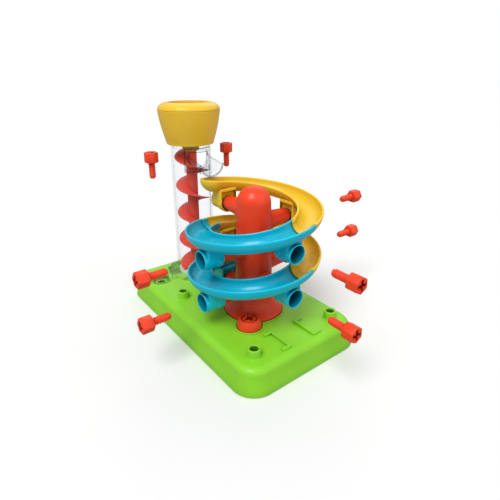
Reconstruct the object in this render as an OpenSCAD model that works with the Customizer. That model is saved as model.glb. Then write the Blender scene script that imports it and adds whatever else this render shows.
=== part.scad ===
// Marble run with a hand-turned lift: a spiral track on a red tower, beside a clear
// lift tube, on a green base.  Millimetres.  The origin is the centre of the base's
// underside, +X runs from the lift tube towards the tower, +Z is up.

/* [Base] */
// Length of the base along X
base_l = 240; // [236:1:250]
// Width of the base along Y
base_w = 142; // [140:1:150]
// Height of the deck above the table
base_h = 25; // [25:0.5:27]
// Radius of the base's corners in plan
base_corner_r = 22.5; // [20:0.5:26]
// Thickness of the base's moulded wall
base_wall = 2.4; // [2:0.1:3]

/* [Spiral track] */
// Distance from the tower's axis to the middle of the trough
track_r = 53.7; // [53.5:0.1:54]
// Height that a marble loses in one turn
pitch = 43.73; // [43:0.1:45]
// Height of the trough's lips above the deck at the tower's +X side, top turn
lip_height = 103.9; // [103:0.1:105]
// Outside radius of the trough's section
trough_r = 12.3; // [12:0.1:12.5]
// Thickness of the trough's wall
trough_wall = 1.8; // [1.6:0.1:2]

/* [Tower] */
// Place of the tower's axis along X
tower_x = 35.5; // [35:0.1:36]
// Height of the tower's domed top above the deck
tower_h = 131; // [130:0.5:135]
// Thickness of the tower's shells
tower_wall = 2.2; // [2:0.1:2.4]

/* [Lift] */
// Place of the lift tube's axis along X
tube_x = -79.5; // [-80:0.1:-79]
// Outside radius of the clear tube
tube_r = 22.6; // [22.4:0.1:22.8]
// Height of the tube's top rim above the deck
tube_h = 156.5; // [155:0.5:156.5]
// Outside radius of the lift screw's flight
flight_r = 19.5; // [19:0.1:19.6]
// Rise of the lift screw's flight in one turn
flight_pitch = 33; // [30:0.5:36]
// Radius of the lift screw's shaft
shaft_r = 6.3; // [6:0.1:6.5]
// Largest radius of the knob
knob_r = 34; // [32:0.5:36]

/* [Screws and marbles] */
// Radius over the corners of a plastic screw's six-sided head
head_r = 7.4; // [7:0.1:7.5]
// Length of a plastic screw's head
head_l = 11.5; // [10:0.5:12]
// Radius of a plastic screw's threaded shank
shank_r = 3.7; // [3.4:0.1:3.8]
// Length of a plastic screw's shank
shank_l = 17; // [15:0.5:17]
// Distance that the left-hand screws are drawn out of their sockets
left_draw = 64.3; // [40:0.1:70]
// Distance that the right-hand screws are drawn out
right_draw = 71.5; // [40:0.1:80]
// Distance that the rear screws are drawn out
rear_draw = 97.5; // [40:0.1:100]
// Distance that the tube's foot screws are drawn up
foot_draw = 141.3; // [40:0.1:150]
// Radius of a marble
marble_r = 7; // [6.5:0.1:7]

/* [Hidden] */
$fn = 64;
eps = 0.02;
deck = base_h;

green = "yellowgreen";
red = "orangered";
blue = "deepskyblue";
yellow = "gold";
clear = [0.85, 0.93, 0.95, 0.4];
steel = "silver";

// ---- Base ----
side_draft = 3.5;
deck_edge_r = 7;
deck_t = 2.6;
rib_t = 2;
post_dx = 61.7;
post_dy = 48;
post_r = 6;
post_h = 8.5;
post_hole_r = 3.9;
post_hole_depth = 18;
boss_r = 11;
boss_foot = 3;
cup_r = 9.3;
cup_depth = 4;
cup_floor = 2;
seat_z = deck - cup_depth + cup_floor;
cup_play = 0.2;
screw_play = 0.1;
shank_hole_r = shank_r + screw_play;
head_hole_r = head_r + 0.4;
bracket_x = 80;
bracket_l = 28.5;
bracket_y = 15;
bracket_turn = 9;
bracket_w = 3;
bracket_h = 2.5;
kerb_w = 1.4;
kerb_h = 1.2;
kerb_gap = 0.6;

// Side of the base in section, from the middle of a corner outwards.
function side_profile(r, h, edge) = concat(
    [[0, 0], [r, 0]],
    [for (a = [0:15:90]) [r - side_draft - edge * (1 - cos(a)), h - edge * (1 - sin(a))]],
    [[0, h]]);

// The same section carried across the base, for the straight stretches.
function across(profile, half) = concat(
    [for (p = profile) [p[0] + half, p[1]]],
    [for (i = [len(profile) - 1:-1:0]) [-profile[i][0] - half, profile[i][1]]]);

module rounded_slab(l, w, r, h, edge) {
    profile = side_profile(r, h, edge);
    cx = l / 2 - r;
    cy = w / 2 - r;
    for (sx = [-1, 1], sy = [-1, 1])
        translate([sx * cx, sy * cy, 0]) rotate_extrude() polygon(profile);
    translate([-cx, 0, 0]) rotate([90, 0, 90]) linear_extrude(2 * cx) polygon(across(profile, cy));
    translate([0, cy, 0]) rotate([90, 0, 0]) linear_extrude(2 * cy) polygon(across(profile, cx));
}

module at_posts() {
    for (sx = [-1, 1], sy = [-1, 1])
        translate([tower_x + sx * post_dx, sy * post_dy, 0]) children();
}

// The tower's foot lobes stand on a diagonal, the tube's stand along Y.
lobe_out = 34.5;
tube_lobe_out = 48.3;
tower_lobes = [for (s = [-1, 1]) [tower_x - s * lobe_out * sqrt(0.5), s * lobe_out * sqrt(0.5)]];
tube_lobes = [for (s = [-1, 1]) [tube_x, s * tube_lobe_out]];

module at_lobes(places) {
    for (p = places) translate(p) children();
}

module tower_foot_plan(grow) {
    translate([tower_x, 0]) circle(foot_r + grow);
    at_lobes(tower_lobes) circle(lobe_r + grow);
}

module brackets() {
    for (s = [-1, 1], x = [0, bracket_l - bracket_w])
        translate([bracket_x + x, s * (bracket_y + bracket_turn / 2) - bracket_turn / 2, deck - eps])
            cube([bracket_w, bracket_turn, bracket_h]);
    for (s = [-1, 1])
        translate([bracket_x, s * bracket_y - bracket_w / 2, deck - eps])
            cube([bracket_l, bracket_w, bracket_h]);
}

module base_tray() {
    inner_l = base_l - 2 * base_wall;
    inner_w = base_w - 2 * base_wall;
    color(green) difference() {
        union() {
            difference() {
                rounded_slab(base_l, base_w, base_corner_r, deck, deck_edge_r);
                translate([0, 0, -eps])
                    rounded_slab(inner_l, inner_w, base_corner_r - base_wall, deck - deck_t,
                                 deck_edge_r - base_wall);
            }
            translate([-inner_l / 2, -rib_t / 2, 0]) cube([inner_l, rib_t, deck - 1]);
            for (x = [-post_dx, 0, post_dx])
                translate([x - rib_t / 2, -inner_w / 2, 0]) cube([rib_t, inner_w, deck - 1]);
            translate([0, 0, boss_foot]) {
                at_lobes(concat(tower_lobes, tube_lobes)) cylinder(r=boss_r, h=deck - 1 - boss_foot);
                at_posts() cylinder(r=post_r, h=deck + post_h - boss_foot);
            }
            brackets();
            translate([0, 0, deck - eps]) linear_extrude(kerb_h) difference() {
                tower_foot_plan(kerb_gap + kerb_w);
                tower_foot_plan(kerb_gap);
            }
        }
        translate([0, 0, deck - cup_depth])
            at_lobes(concat(tower_lobes, tube_lobes)) cylinder(r=cup_r + cup_play, h=cup_depth + 1);
        translate([0, 0, -eps])
            at_lobes(concat(tower_lobes, tube_lobes)) cylinder(r=shank_hole_r, h=deck);
        translate([0, 0, deck + post_h - post_hole_depth])
            at_posts() cylinder(r=post_hole_r, h=post_hole_depth + 1);
    }
}

// A foot lobe: a pad or a tapering boss over a cup that takes the screw's head.
module lobe(r, t, top_r) {
    translate([0, 0, deck]) cylinder(r1=r, r2=top_r, h=t);
    translate([0, 0, deck - cup_depth]) cylinder(r=cup_r, h=cup_depth + t);
}

module lobe_holes(t) {
    translate([0, 0, deck - cup_depth - 1]) cylinder(r=shank_hole_r, h=cup_depth + t + 2);
    translate([0, 0, seat_z]) cylinder(r=head_hole_r, h=cup_depth + t + 1);
}

// ---- Track ----
// A place on the track is its angle s, which grows as the marble rolls down, clockwise
// from above, from the tower's +X side.
top_start = -193;
upper_blue_start = -16.5;
lower_yellow_start = 162.5;
lower_blue_start = 343.5;
track_end = 562;
joint_gap = 0.6;
tongue_angle = 4.3;
collar_angle = 3;
tongue_play = 0.4;
tongue_wall = 1.3;
sweep_step = 9;
arc_steps = 10;
nose_r = 0.3;
pedestal_angle = 12;
clear_above = 3;
drop_hole_r = 8.6;

function lip_z(s) = deck + lip_height - pitch * s / 360;
function on_track(s, out, up) =
    [tower_x + (track_r + out) * cos(s), -(track_r + out) * sin(s), lip_z(s) + up];

// Part-circle below the lips, from the outer side of the track to the inner one or back.
function under_arc(r, back=false) = [for (i = [0:arc_steps])
    let (a = (back ? 1 : -1) * 180 * i / arc_steps + (back ? 180 : 0)) [r * cos(a), r * sin(a)]];

// Stations from angle a to b in even steps: [angle, outer radius, inner radius].
function stretch(a, b, r, inner=0) =
    let (n = ceil((b - a) / sweep_step)) [for (i = [0:n]) [a + (b - a) * i / n, r, inner]];

// Stations of a rounded, closed end beyond angle s; way is 1 or -1.
function closed_end(s, way) = [for (t = way > 0 ? [25, 45, 60, 78] : [78, 60, 45, 25])
    let (d = trough_r * sin(t))
        [s + way * d / track_r * 180 / PI, trough_r * cos(t),
         sqrt(max(pow(trough_r - trough_wall, 2) - d * d, nose_r * nose_r))]];

// Solid swept along the spiral through its stations.  A section is a half-round shell,
// or a half-round bar with a flat top over the lips where top is given.
module sweep(stations, top=0) {
    sections = [for (st = stations) top > 0
        ? concat(under_arc(st[1]), [[-st[1], top], [st[1], top]])
        : concat(under_arc(st[1]), under_arc(st[2], true))];
    n = len(sections[0]);
    last = (len(stations) - 1) * n;
    points = [for (k = [0:len(stations) - 1]) each
        [for (p = sections[k]) on_track(stations[k][0], p[0], p[1])]];
    sides = [for (k = [0:len(stations) - 2], i = [0:n - 1])
        let (a = k * n + i, b = k * n + (i + 1) % n) each [[a, b, b + n], [a, b + n, a + n]]];
    caps = [[for (i = [n - 1:-1:0]) i], [for (i = [0:n - 1]) last + i]];
    polyhedron(points, concat(sides, caps), convexity=6);
}

socket_drop = 21.7;
socket_r = 8.9;
socket_mouth = 61.4;
socket_back = 41;
socket_seat = 47;
socket_stop = 45;
ring_r = 10.3;
ring_end = 49;
hollow_r = 8.8;
hollow_end = 43.5;
hollow_top = 12;
pedestal_top = 8;
arm_tip_r = 6;
arm_pocket_r = 6.5;

// Places along a socket's axis: +X of this frame points out of the mouth.
module at_socket(s) {
    translate([tower_x, 0, lip_z(s) - socket_drop]) rotate([0, 0, -s]) children();
}

module along_x(x, r, l, r2=undef) {
    translate([x, 0, 0]) rotate([0, 90, 0]) cylinder(r1=r, r2=is_undef(r2) ? r : r2, h=l);
}

// A length of a socket's outside, round below and carried up to the trough's wall.
module socket_length(x, r, l) {
    along_x(x, r, l);
    translate([x, -r, 0]) cube([l, 2 * r, socket_drop - pedestal_top]);
}

// A socket's outside: the ring round the tower's arm, then the slimmer barrel.
module socket_body(s) {
    difference() {
        at_socket(s) {
            socket_length(socket_back, ring_r, ring_end - socket_back);
            socket_length(ring_end - eps, socket_r, socket_mouth - ring_end + eps);
        }
        sweep(stretch(s - pedestal_angle, s + pedestal_angle, trough_r - trough_wall / 2), clear_above);
    }
}

module socket_bores(s) {
    at_socket(s) {
        along_x(socket_seat, head_hole_r, socket_mouth - socket_seat + 1);
        along_x(socket_stop - 1, shank_hole_r, socket_seat - socket_stop + 2);
        along_x(socket_back - 1, arm_pocket_r, socket_stop - socket_back + 1);
        along_x(socket_back - 1, hollow_r, hollow_end - socket_back + 1);
        translate([socket_back - 1, -hollow_r, 0])
            cube([hollow_end - socket_back + 1, 2 * hollow_r, hollow_top]);
    }
}

// The stations of a track piece, with its closed ends or with the thin tongue that lies
// inside the next piece's start.
function piece(a, b, tongue, closed) =
    let (inner_r = trough_r - trough_wall, tongue_r = inner_r - tongue_play,
         tongue_inner_r = tongue_r - tongue_wall)
    concat(
        closed == "start" ? closed_end(a, -1) : [],
        stretch(a, tongue ? b - collar_angle : b, trough_r, inner_r),
        tongue ? stretch(b - collar_angle + eps, b - joint_gap, trough_r, tongue_inner_r) : [],
        tongue ? stretch(b - joint_gap + eps, b + tongue_angle, tongue_r, tongue_inner_r) : [],
        closed == "end" ? closed_end(b, 1) : []);

// One moulded track piece.  The resize keeps every size: it only makes the swept walls
// and the sockets' outsides one mesh, and the true bores are cut in that.
module track(a, b, sockets, tongue=true, closed="") {
    difference() {
        resize([0, 0, 0]) {
            sweep(piece(a, b, tongue, closed));
            for (s = sockets) socket_body(s, $fn=32);
        }
        for (s = sockets) socket_bores(s);
        if (closed == "end") translate(on_track(b, 0, -trough_r - 1)) cylinder(r=drop_hole_r, h=trough_r);
    }
}

module upper_yellow_track() {
    color(yellow) track(top_start, upper_blue_start, [-180, -90], closed="start");
}

module upper_blue_track() {
    color(blue) track(upper_blue_start, lower_yellow_start, [0, 90]);
}

module lower_yellow_track() {
    color(yellow) track(lower_yellow_start, lower_blue_start, [180, 270]);
}

module lower_blue_track() {
    color(blue) track(lower_blue_start, track_end, [360, 450, 540], tongue=false, closed="end");
}

// ---- Tower ----
foot_r = 30;
foot_t = 4;
lobe_r = 12.4;
lobe_top_r = 9.6;
lobe_h = head_l - cup_depth + cup_floor;
skirt_top = 20;
skirt_r = 19.5;
waist_z = 35;
waist_r = 18.5;
dome_r = 16.5;
arm_root = 12;
arm_root_r = 8.7;
arm_tip = 44.8;
arm_bore_start = 28;
case_screw_z = [30, 68, 108];
case_boss_r = 4.2;
case_seat = 6;
case_screw_r = 1.25;
case_screw_l = 14;
case_head_r = 2.6;
case_head_l = 2;
case_bite = 9;

// Outline of the tower, shrunk by t, from the deck up: foot, bell-shaped skirt, column, dome.
function tower_profile(t) = concat(
    t > 0 ? [[0, -1], [skirt_r + 3, -1]] : [[0, 0], [foot_r, 0], [foot_r, foot_t - 1]],
    [for (i = [0:6]) let (k = i / 6)
        [skirt_r + (foot_r - 1.5 - skirt_r) * pow(1 - k, 2.2) - t, foot_t + (skirt_top - foot_t) * k - t]],
    [[waist_r - t, waist_z]],
    [for (a = [0:10:90]) [(dome_r - t) * cos(a), tower_h - dome_r + (dome_r - t) * sin(a)]]);

module tower_shape() {
    difference() {
        union() {
            translate([tower_x, 0, deck]) rotate_extrude() polygon(tower_profile(0));
            for (s = [-180:90:540])
                at_socket(s) along_x(arm_root, arm_root_r, arm_tip - arm_root, arm_tip_r);
            at_lobes(tower_lobes) lobe(lobe_r, lobe_h, lobe_top_r);
        }
        translate([tower_x, 0, deck]) rotate_extrude() polygon(tower_profile(tower_wall));
        for (s = [-180:90:540])
            at_socket(s) along_x(arm_bore_start, shank_hole_r, arm_tip - arm_bore_start + 1);
        at_lobes(tower_lobes) lobe_holes(lobe_h);
    }
}

// A case screw's frame: +X points from the parting plane to the back of the tower.
module at_case_screw(z) {
    translate([tower_x, 0, deck + z]) rotate([0, 0, 135]) children();
}

// Distance from the tower's axis to the middle of its wall at a height.
function wall_at(z) =
    waist_r + (dome_r - waist_r) * (z - waist_z) / (tower_h - dome_r - waist_z) - tower_wall / 2;

// Keeps the half of its children on one side of the tower's parting plane.
module half(side) {
    reach = 60;
    intersection() {
        children();
        translate([tower_x, 0, 0]) rotate([0, 0, 135])
            translate([side > 0 ? 0 : -reach, -reach, deck - cup_depth - 1])
                cube([reach, 2 * reach, tower_h + cup_depth + 2]);
    }
}

module tower_front_shell() {
    color(red) difference() {
        union() {
            half(-1) tower_shape();
            for (z = case_screw_z) at_case_screw(z) along_x(-wall_at(z), case_boss_r, wall_at(z));
        }
        for (z = case_screw_z) at_case_screw(z) along_x(-case_bite, case_screw_r + run_play, case_bite + 1);
    }
}

module tower_rear_shell() {
    color(red) difference() {
        union() {
            half(1) tower_shape();
            for (z = case_screw_z) at_case_screw(z) along_x(0, case_boss_r, wall_at(z));
        }
        for (z = case_screw_z) at_case_screw(z) {
            along_x(-1, case_screw_r + screw_play, case_seat + 2);
            along_x(case_seat, case_head_r + screw_play, foot_r);
        }
    }
}

module tower_case_screws() {
    color(steel) for (z = case_screw_z) at_case_screw(z) difference() {
        union() {
            along_x(case_seat - case_screw_l, case_screw_r, case_screw_l);
            along_x(case_seat, case_head_r, case_head_l);
        }
        for (a = [0, 90]) rotate([a, 0, 0])
            translate([case_seat + 1, -1.6, -0.35]) cube([case_head_l, 3.2, 0.7]);
    }
}

// ---- Lift ----
tube_wall = 1.8;
tube_bore_r = tube_r - tube_wall;
tube_top = deck + tube_h;
flange_r = 34.5;
flange_t = 2.5;
tube_lobe_r = 13.5;
neck_w = 20;
guide_depth = 1;
guide_w = 2;
guide_angle = 33;
in_angle = 16;
in_half_w = 8.6;
in_top = 45;
out_angle = -8;
out_half_w = 10.2;
out_low = 156;
out_high = 175.5;
bearing_t = 3;
pin_r = 3;
run_play = 0.05;
bush_t = 5;
hub_r = 9.5;
hood_place = [tube_x - 9.5, -28.5];
hood_r = 5;
hood_t = 1.4;
hood_l = 8;

// A radial opening through the tube, centred on an angle.
module window(angle, half_w, low, high) {
    translate([tube_x, 0, low]) rotate([0, 0, angle])
        translate([shaft_r, -half_w, 0]) cube([tube_r, 2 * half_w, high - low]);
}

// A small arch that stands on the tube's foot.
module hood() {
    translate([hood_place[0], hood_place[1] + hood_l / 2, deck + flange_t - eps]) rotate([90, 0, 0])
        linear_extrude(hood_l) intersection() {
            difference() {
                circle(hood_r);
                circle(hood_r - hood_t);
            }
            translate([-hood_r, 0]) square([2 * hood_r, hood_r]);
        }
}

module lift_tube() {
    color(clear) difference() {
        union() {
            translate([tube_x, 0, deck]) cylinder(r=tube_r, h=tube_h);
            translate([tube_x, 0, deck]) cylinder(r=flange_r, h=flange_t);
            at_lobes(tube_lobes) lobe(tube_lobe_r, foot_t, tube_lobe_r);
            translate([tube_x - neck_w / 2, -tube_lobe_out, deck]) cube([neck_w, 2 * tube_lobe_out, flange_t]);
            hood();
        }
        difference() {
            translate([tube_x, 0, deck - 1]) cylinder(r=tube_bore_r, h=tube_h + 2);
            for (a = [in_angle - guide_angle, in_angle + guide_angle])
                translate([tube_x, 0, in_top]) rotate([0, 0, a])
                    translate([tube_bore_r - guide_depth, -guide_w / 2, 0])
                        cube([tube_wall + guide_depth, guide_w, out_low - in_top]);
        }
        window(in_angle, in_half_w, deck + flange_t, in_top);
        window(out_angle, out_half_w, out_low, out_high);
        at_lobes(tube_lobes) lobe_holes(foot_t);
    }
}

spout_r = 12;
spout_wall = 1.6;
spout_reach = 57;
spout_slope = 5;
spout_lip = 170.8;
saddle_t = 1.6;
saddle_half_w = 15;
saddle_low = 152;
saddle_high = 178;
lug_l = 7.5;
lug_t = 1.6;

// The spout's frame: origin on the tube's axis at lip height, +X down the chute.
module at_spout() {
    translate([tube_x, 0, spout_lip]) rotate([0, 0, out_angle]) rotate([0, spout_slope, 0]) children();
}

module outlet_spout() {
    color(clear) difference() {
        union() {
            at_spout() intersection() {
                along_x(shaft_r, spout_r, spout_reach - shaft_r);
                translate([0, -spout_r, -spout_r - 1]) cube([spout_reach, 2 * spout_r, spout_r + 1]);
            }
            translate([tube_x, 0, saddle_low]) rotate([0, 0, out_angle]) intersection() {
                cylinder(r=tube_r + run_play + saddle_t, h=saddle_high - saddle_low);
                translate([0, -saddle_half_w, 0])
                    cube([2 * tube_r, 2 * saddle_half_w, saddle_high - saddle_low]);
            }
            at_spout() translate([spout_reach - lug_t, -spout_r - 1, -lug_l])
                cube([lug_t, 3, lug_l]);
        }
        translate([tube_x, 0, saddle_low - 20]) cylinder(r=tube_r + run_play, h=80);
        at_spout() along_x(0, spout_r - spout_wall, spout_reach + 1);
        at_spout() translate([0, -spout_r + spout_wall, 0])
            cube([tube_r + 4, 2 * (spout_r - spout_wall), out_high - spout_lip]);
    }
}

tray_path = [[-14.3, 20.1], [-37, 17], [-58, 5]];
tray_half_w = 8.2;
tray_wall = 1.4;
tray_top = 40;
tray_slope = 5;
tray_floor = deck + 3.2;

// The tray's outline: straight channels between its corners, rounded at each of them.
module tray_block(r, h) {
    for (i = [0:len(tray_path) - 2]) hull() {
        translate(tray_path[i]) cylinder(r=r, h=h, $fn=32);
        translate(tray_path[i + 1]) cylinder(r=r, h=h, $fn=32);
    }
}

module inlet_tray() {
    low_end = tray_path[2];
    color(clear) difference() {
        translate([0, 0, deck]) tray_block(tray_half_w + tray_wall, tray_top - deck);
        translate([low_end[0], 0, tray_floor]) rotate([0, -tray_slope, 0])
            translate([-low_end[0], 0, 0]) tray_block(tray_half_w, tray_top);
        translate([tube_x, 0, deck - 1]) cylinder(r=tube_r + run_play, h=tray_top);
        translate([tube_x, 0, deck - 1]) cylinder(r=flange_r + 0.3, h=flange_t + 1 + run_play);
    }
}

module bottom_bearing() {
    color("white") translate([tube_x, 0, deck]) difference() {
        cylinder(r=tube_bore_r - run_play, h=bearing_t);
        translate([0, 0, -1]) cylinder(r=pin_r + run_play, h=bearing_t + 2);
    }
}

module top_bush() {
    color(clear) translate([tube_x, 0, tube_top - bush_t]) difference() {
        cylinder(r=tube_bore_r - run_play, h=bush_t);
        translate([0, 0, -1]) cylinder(r=hub_r + run_play, h=bush_t + 2);
    }
}

shaft_foot = deck + bearing_t + 0.2;
flight_start = shaft_foot + 0.3;
flight_end = 170;
flight_t = 2;
flight_turn = -78.5;
flight_steps = 20;
hub_z = 173;
drive_top = 184;
drive_w = 7;
drive_play = 0.1;
knob_z = 182;
knob_skirt = 1.4;
knob_skirt_r = 24;
rim_z = 217;
knob_top = 225;
fixing_seat = 188;
fixing_r = 1.9;
fixing_l = 14;
fixing_head_r = 4;
fixing_head_l = 2.6;

// The flight turns left-handed, so turning the knob counter-clockwise from above lifts.
module flight() {
    turns = (flight_end - flight_start) / flight_pitch;
    n = ceil(turns * flight_steps);
    ring = [[shaft_r - 1.5, -0.6], [flight_r, -0.3], [flight_r, 0.3], [shaft_r - 1.5, 0.6]];
    points = [for (k = [0:n]) let (a = -360 * turns * k / n, z = (flight_end - flight_start) * k / n)
        each [for (p = ring) [p[0] * cos(a), p[0] * sin(a), z + flight_t * (p[1] + 0.6)]]];
    sides = [for (k = [0:n - 1], i = [0:3]) let (a = 4 * k + i, b = 4 * k + (i + 1) % 4)
        each [[b, a, b + 4], [b + 4, a, a + 4]]];
    translate([tube_x, 0, flight_start]) rotate([0, 0, flight_turn])
        polyhedron(points, concat(sides, [[0, 1, 2, 3], [for (i = [3:-1:0]) 4 * n + i]]), convexity=10);
}

module lift_screw() {
    color(red) difference() {
        union() {
            translate([tube_x, 0, shaft_foot]) cylinder(r=shaft_r, h=hub_z - shaft_foot - 0.3);
            translate([tube_x, 0, deck + 0.2]) cylinder(r=pin_r, h=bearing_t + 1);
            translate([tube_x - drive_w / 2, -drive_w / 2, hub_z - 1])
                cube([drive_w, drive_w, drive_top - hub_z + 1]);
            flight();
        }
        translate([tube_x, 0, fixing_seat - fixing_l - 1]) cylinder(r=fixing_r + run_play, h=fixing_l);
    }
}

knob_wall = 2.2;
spigot_r = knob_r - knob_wall - 0.5;
spigot_t = 1.5;
rim_t = 2;
knob_mouth_r = 21.8;
mouth_foot = 212;

// Side of the knob's bowl at a height over its underside, drawn in by t.
function bowl_side(t) = [
    [26.2 - t, knob_z + t],
    [28.3 - t, knob_z + 6],
    [30.5 - t, knob_z + 14],
    [32.3 - t, knob_z + 23],
    [knob_r - t, rim_z]];

module knob_bowl() {
    color(yellow) translate([tube_x, 0, 0]) difference() {
        union() {
            rotate_extrude() polygon(concat([[0, knob_z], [knob_skirt_r, knob_z]],
                [[knob_skirt_r, knob_z - knob_skirt], [knob_skirt_r + 2, knob_z - knob_skirt]], bowl_side(0),
                [for (i = [4:-1:0]) bowl_side(knob_wall)[i]], [[0, knob_z + knob_wall]]));
            translate([0, 0, hub_z]) cylinder(r=hub_r, h=fixing_seat - hub_z);
        }
        translate([-drive_w / 2 - drive_play, -drive_w / 2 - drive_play, hub_z - 1])
            cube([drive_w + 2 * drive_play, drive_w + 2 * drive_play, drive_top - hub_z + 1.2]);
        translate([0, 0, hub_z]) cylinder(r=fixing_r + 0.2, h=fixing_seat);
    }
}

// Half of the rim's crown in section: a curve from the mouth out to the widest part.
function crown(inset) = [for (a = [90:-15:0])
    [knob_mouth_r + (knob_r - knob_mouth_r - inset) * cos(a),
     rim_z + run_play + (knob_top - rim_z - run_play - inset) * sin(a)]];

module knob_rim() {
    shell = crown(rim_t);
    color(yellow) translate([tube_x, 0, 0]) rotate_extrude() polygon(concat(
        [[spigot_r - spigot_t, rim_z - 3], [spigot_r, rim_z - 3], [spigot_r, rim_z + run_play]],
        [for (i = [len(shell) - 1:-1:0]) crown(0)[i]],
        [[knob_mouth_r, mouth_foot], [knob_mouth_r + rim_t, mouth_foot]],
        [for (i = [1:len(shell) - 3]) shell[i]],
        [[spigot_r - spigot_t, rim_z + 2]]));
}

module knob_fixing_screw() {
    color(steel) translate([tube_x, 0, fixing_seat]) difference() {
        union() {
            translate([0, 0, -fixing_l]) cylinder(r=fixing_r, h=fixing_l);
            cylinder(r=fixing_head_r, h=fixing_head_l);
        }
        for (a = [0, 90]) rotate([0, 0, a])
            translate([-2.4, -0.45, fixing_head_l - 1.4]) cube([4.8, 0.9, 2]);
    }
}

// ---- Plastic screws and marbles ----
slot_l = 9;
slot_w = 2.2;
slot_depth = 3.5;

// A plastic screw along +X: its head's underside is at x = 0 and its shank points to -X.
module plastic_screw() {
    color(red) difference() {
        union() {
            along_x(-shank_l, shank_r, shank_l);
            rotate([0, 90, 0]) cylinder(r=head_r, h=head_l, $fn=6);
        }
        for (a = [0, 90]) rotate([a, 0, 0])
            translate([head_l - slot_depth, -slot_l / 2, -slot_w / 2]) cube([slot_depth + 1, slot_l, slot_w]);
    }
}

module track_screw(s, draw) {
    at_socket(s) translate([socket_seat + draw, 0, 0]) plastic_screw();
}

module foot_screw(place, draw) {
    translate([place[0], place[1], seat_z + draw]) rotate([0, -90, 0]) plastic_screw();
}

module left_upper_screw() { track_screw(90, left_draw); }
module left_lower_screw() { track_screw(450, left_draw); }
module right_upper_screw() { track_screw(0, right_draw); }
module right_lower_screw() { track_screw(360, right_draw); }
module rear_upper_screw() { track_screw(-90, rear_draw); }
module rear_lower_screw() { track_screw(270, rear_draw); }
module tube_side_upper_screw() { track_screw(-180, 0); }
module tube_side_middle_screw() { track_screw(180, 0); }
module tube_side_lower_screw() { track_screw(540, 0); }
module tube_foot_screw_left() { foot_screw(tube_lobes[0], foot_draw); }
module tube_foot_screw_right() { foot_screw(tube_lobes[1], foot_draw); }
module tower_foot_screw_front() { foot_screw(tower_lobes[0], 0); }
module tower_foot_screw_rear() { foot_screw(tower_lobes[1], 0); }

// A marble on the tray's sloping floor, a distance up the channel from its corner i.
module marble_in_tray(i, along) {
    d = tray_path[i - 1] - tray_path[i];
    p = tray_path[i] + d * along / norm(d);
    rise = (p[0] - tray_path[2][0]) * tan(tray_slope) + (marble_r + run_play) / cos(tray_slope);
    color("slateblue") translate([p[0], p[1], tray_floor + rise]) sphere(r=marble_r);
}

module marble_at_lift() { marble_in_tray(2, 5); }
module marble_waiting() { marble_in_tray(1, 9); }

base_tray();
tower_front_shell();
tower_rear_shell();
tower_case_screws();
upper_yellow_track();
upper_blue_track();
lower_yellow_track();
lower_blue_track();
lift_tube();
outlet_spout();
inlet_tray();
bottom_bearing();
top_bush();
lift_screw();
knob_bowl();
knob_rim();
knob_fixing_screw();
left_upper_screw();
left_lower_screw();
right_upper_screw();
right_lower_screw();
rear_upper_screw();
rear_lower_screw();
tube_foot_screw_left();
tube_foot_screw_right();
tube_side_upper_screw();
tube_side_middle_screw();
tube_side_lower_screw();
tower_foot_screw_front();
tower_foot_screw_rear();
marble_at_lift();
marble_waiting();
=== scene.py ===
"""Looks of the marble run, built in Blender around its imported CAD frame.

Every length is in metres in the frame's own axes; MM turns millimetres into metres.
Each visible piece is modelled here at the place where the CAD node stands, rides on
that node's body and replaces it.
"""
import math

import bmesh
import bpy
from mathutils import Matrix, Vector


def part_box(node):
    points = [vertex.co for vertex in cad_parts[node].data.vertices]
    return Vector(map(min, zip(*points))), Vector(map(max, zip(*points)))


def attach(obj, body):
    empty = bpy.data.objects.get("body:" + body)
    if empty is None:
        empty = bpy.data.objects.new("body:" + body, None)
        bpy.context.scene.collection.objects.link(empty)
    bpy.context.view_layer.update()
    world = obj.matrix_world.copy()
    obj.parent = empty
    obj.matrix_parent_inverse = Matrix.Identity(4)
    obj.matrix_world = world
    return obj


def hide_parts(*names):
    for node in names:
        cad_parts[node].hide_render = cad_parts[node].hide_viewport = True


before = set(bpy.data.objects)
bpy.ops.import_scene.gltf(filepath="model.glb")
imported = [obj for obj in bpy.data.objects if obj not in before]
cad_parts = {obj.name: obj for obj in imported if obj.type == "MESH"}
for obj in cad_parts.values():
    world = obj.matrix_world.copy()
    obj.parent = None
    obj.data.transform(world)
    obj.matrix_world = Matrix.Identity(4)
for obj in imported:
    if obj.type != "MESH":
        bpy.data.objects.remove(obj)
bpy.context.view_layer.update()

MM = 0.001
UP = Vector((0, 0, 1))

# ---- Driving places, read from the frame ----
base_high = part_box("base_tray")[1]
bearing_low, bearing_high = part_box("bottom_bearing")
TUBE_X = (bearing_low.x + bearing_high.x) / 2 / MM
DECK = bearing_low.z / MM
BUSH_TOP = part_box("top_bush")[1].z / MM


def middle(node):
    low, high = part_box(node)
    return (low + high) / 2 / MM


TOWER_X = (middle("tower_foot_screw_front").x + middle("tower_foot_screw_rear").x) / 2
TOWER_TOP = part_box("tower_front_shell")[1].z / MM
TURN_DROP = middle("right_upper_screw").z - middle("right_lower_screw").z
SOCKET_DROP = 21.7
LIP_START = middle("right_upper_screw").z + SOCKET_DROP

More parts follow.
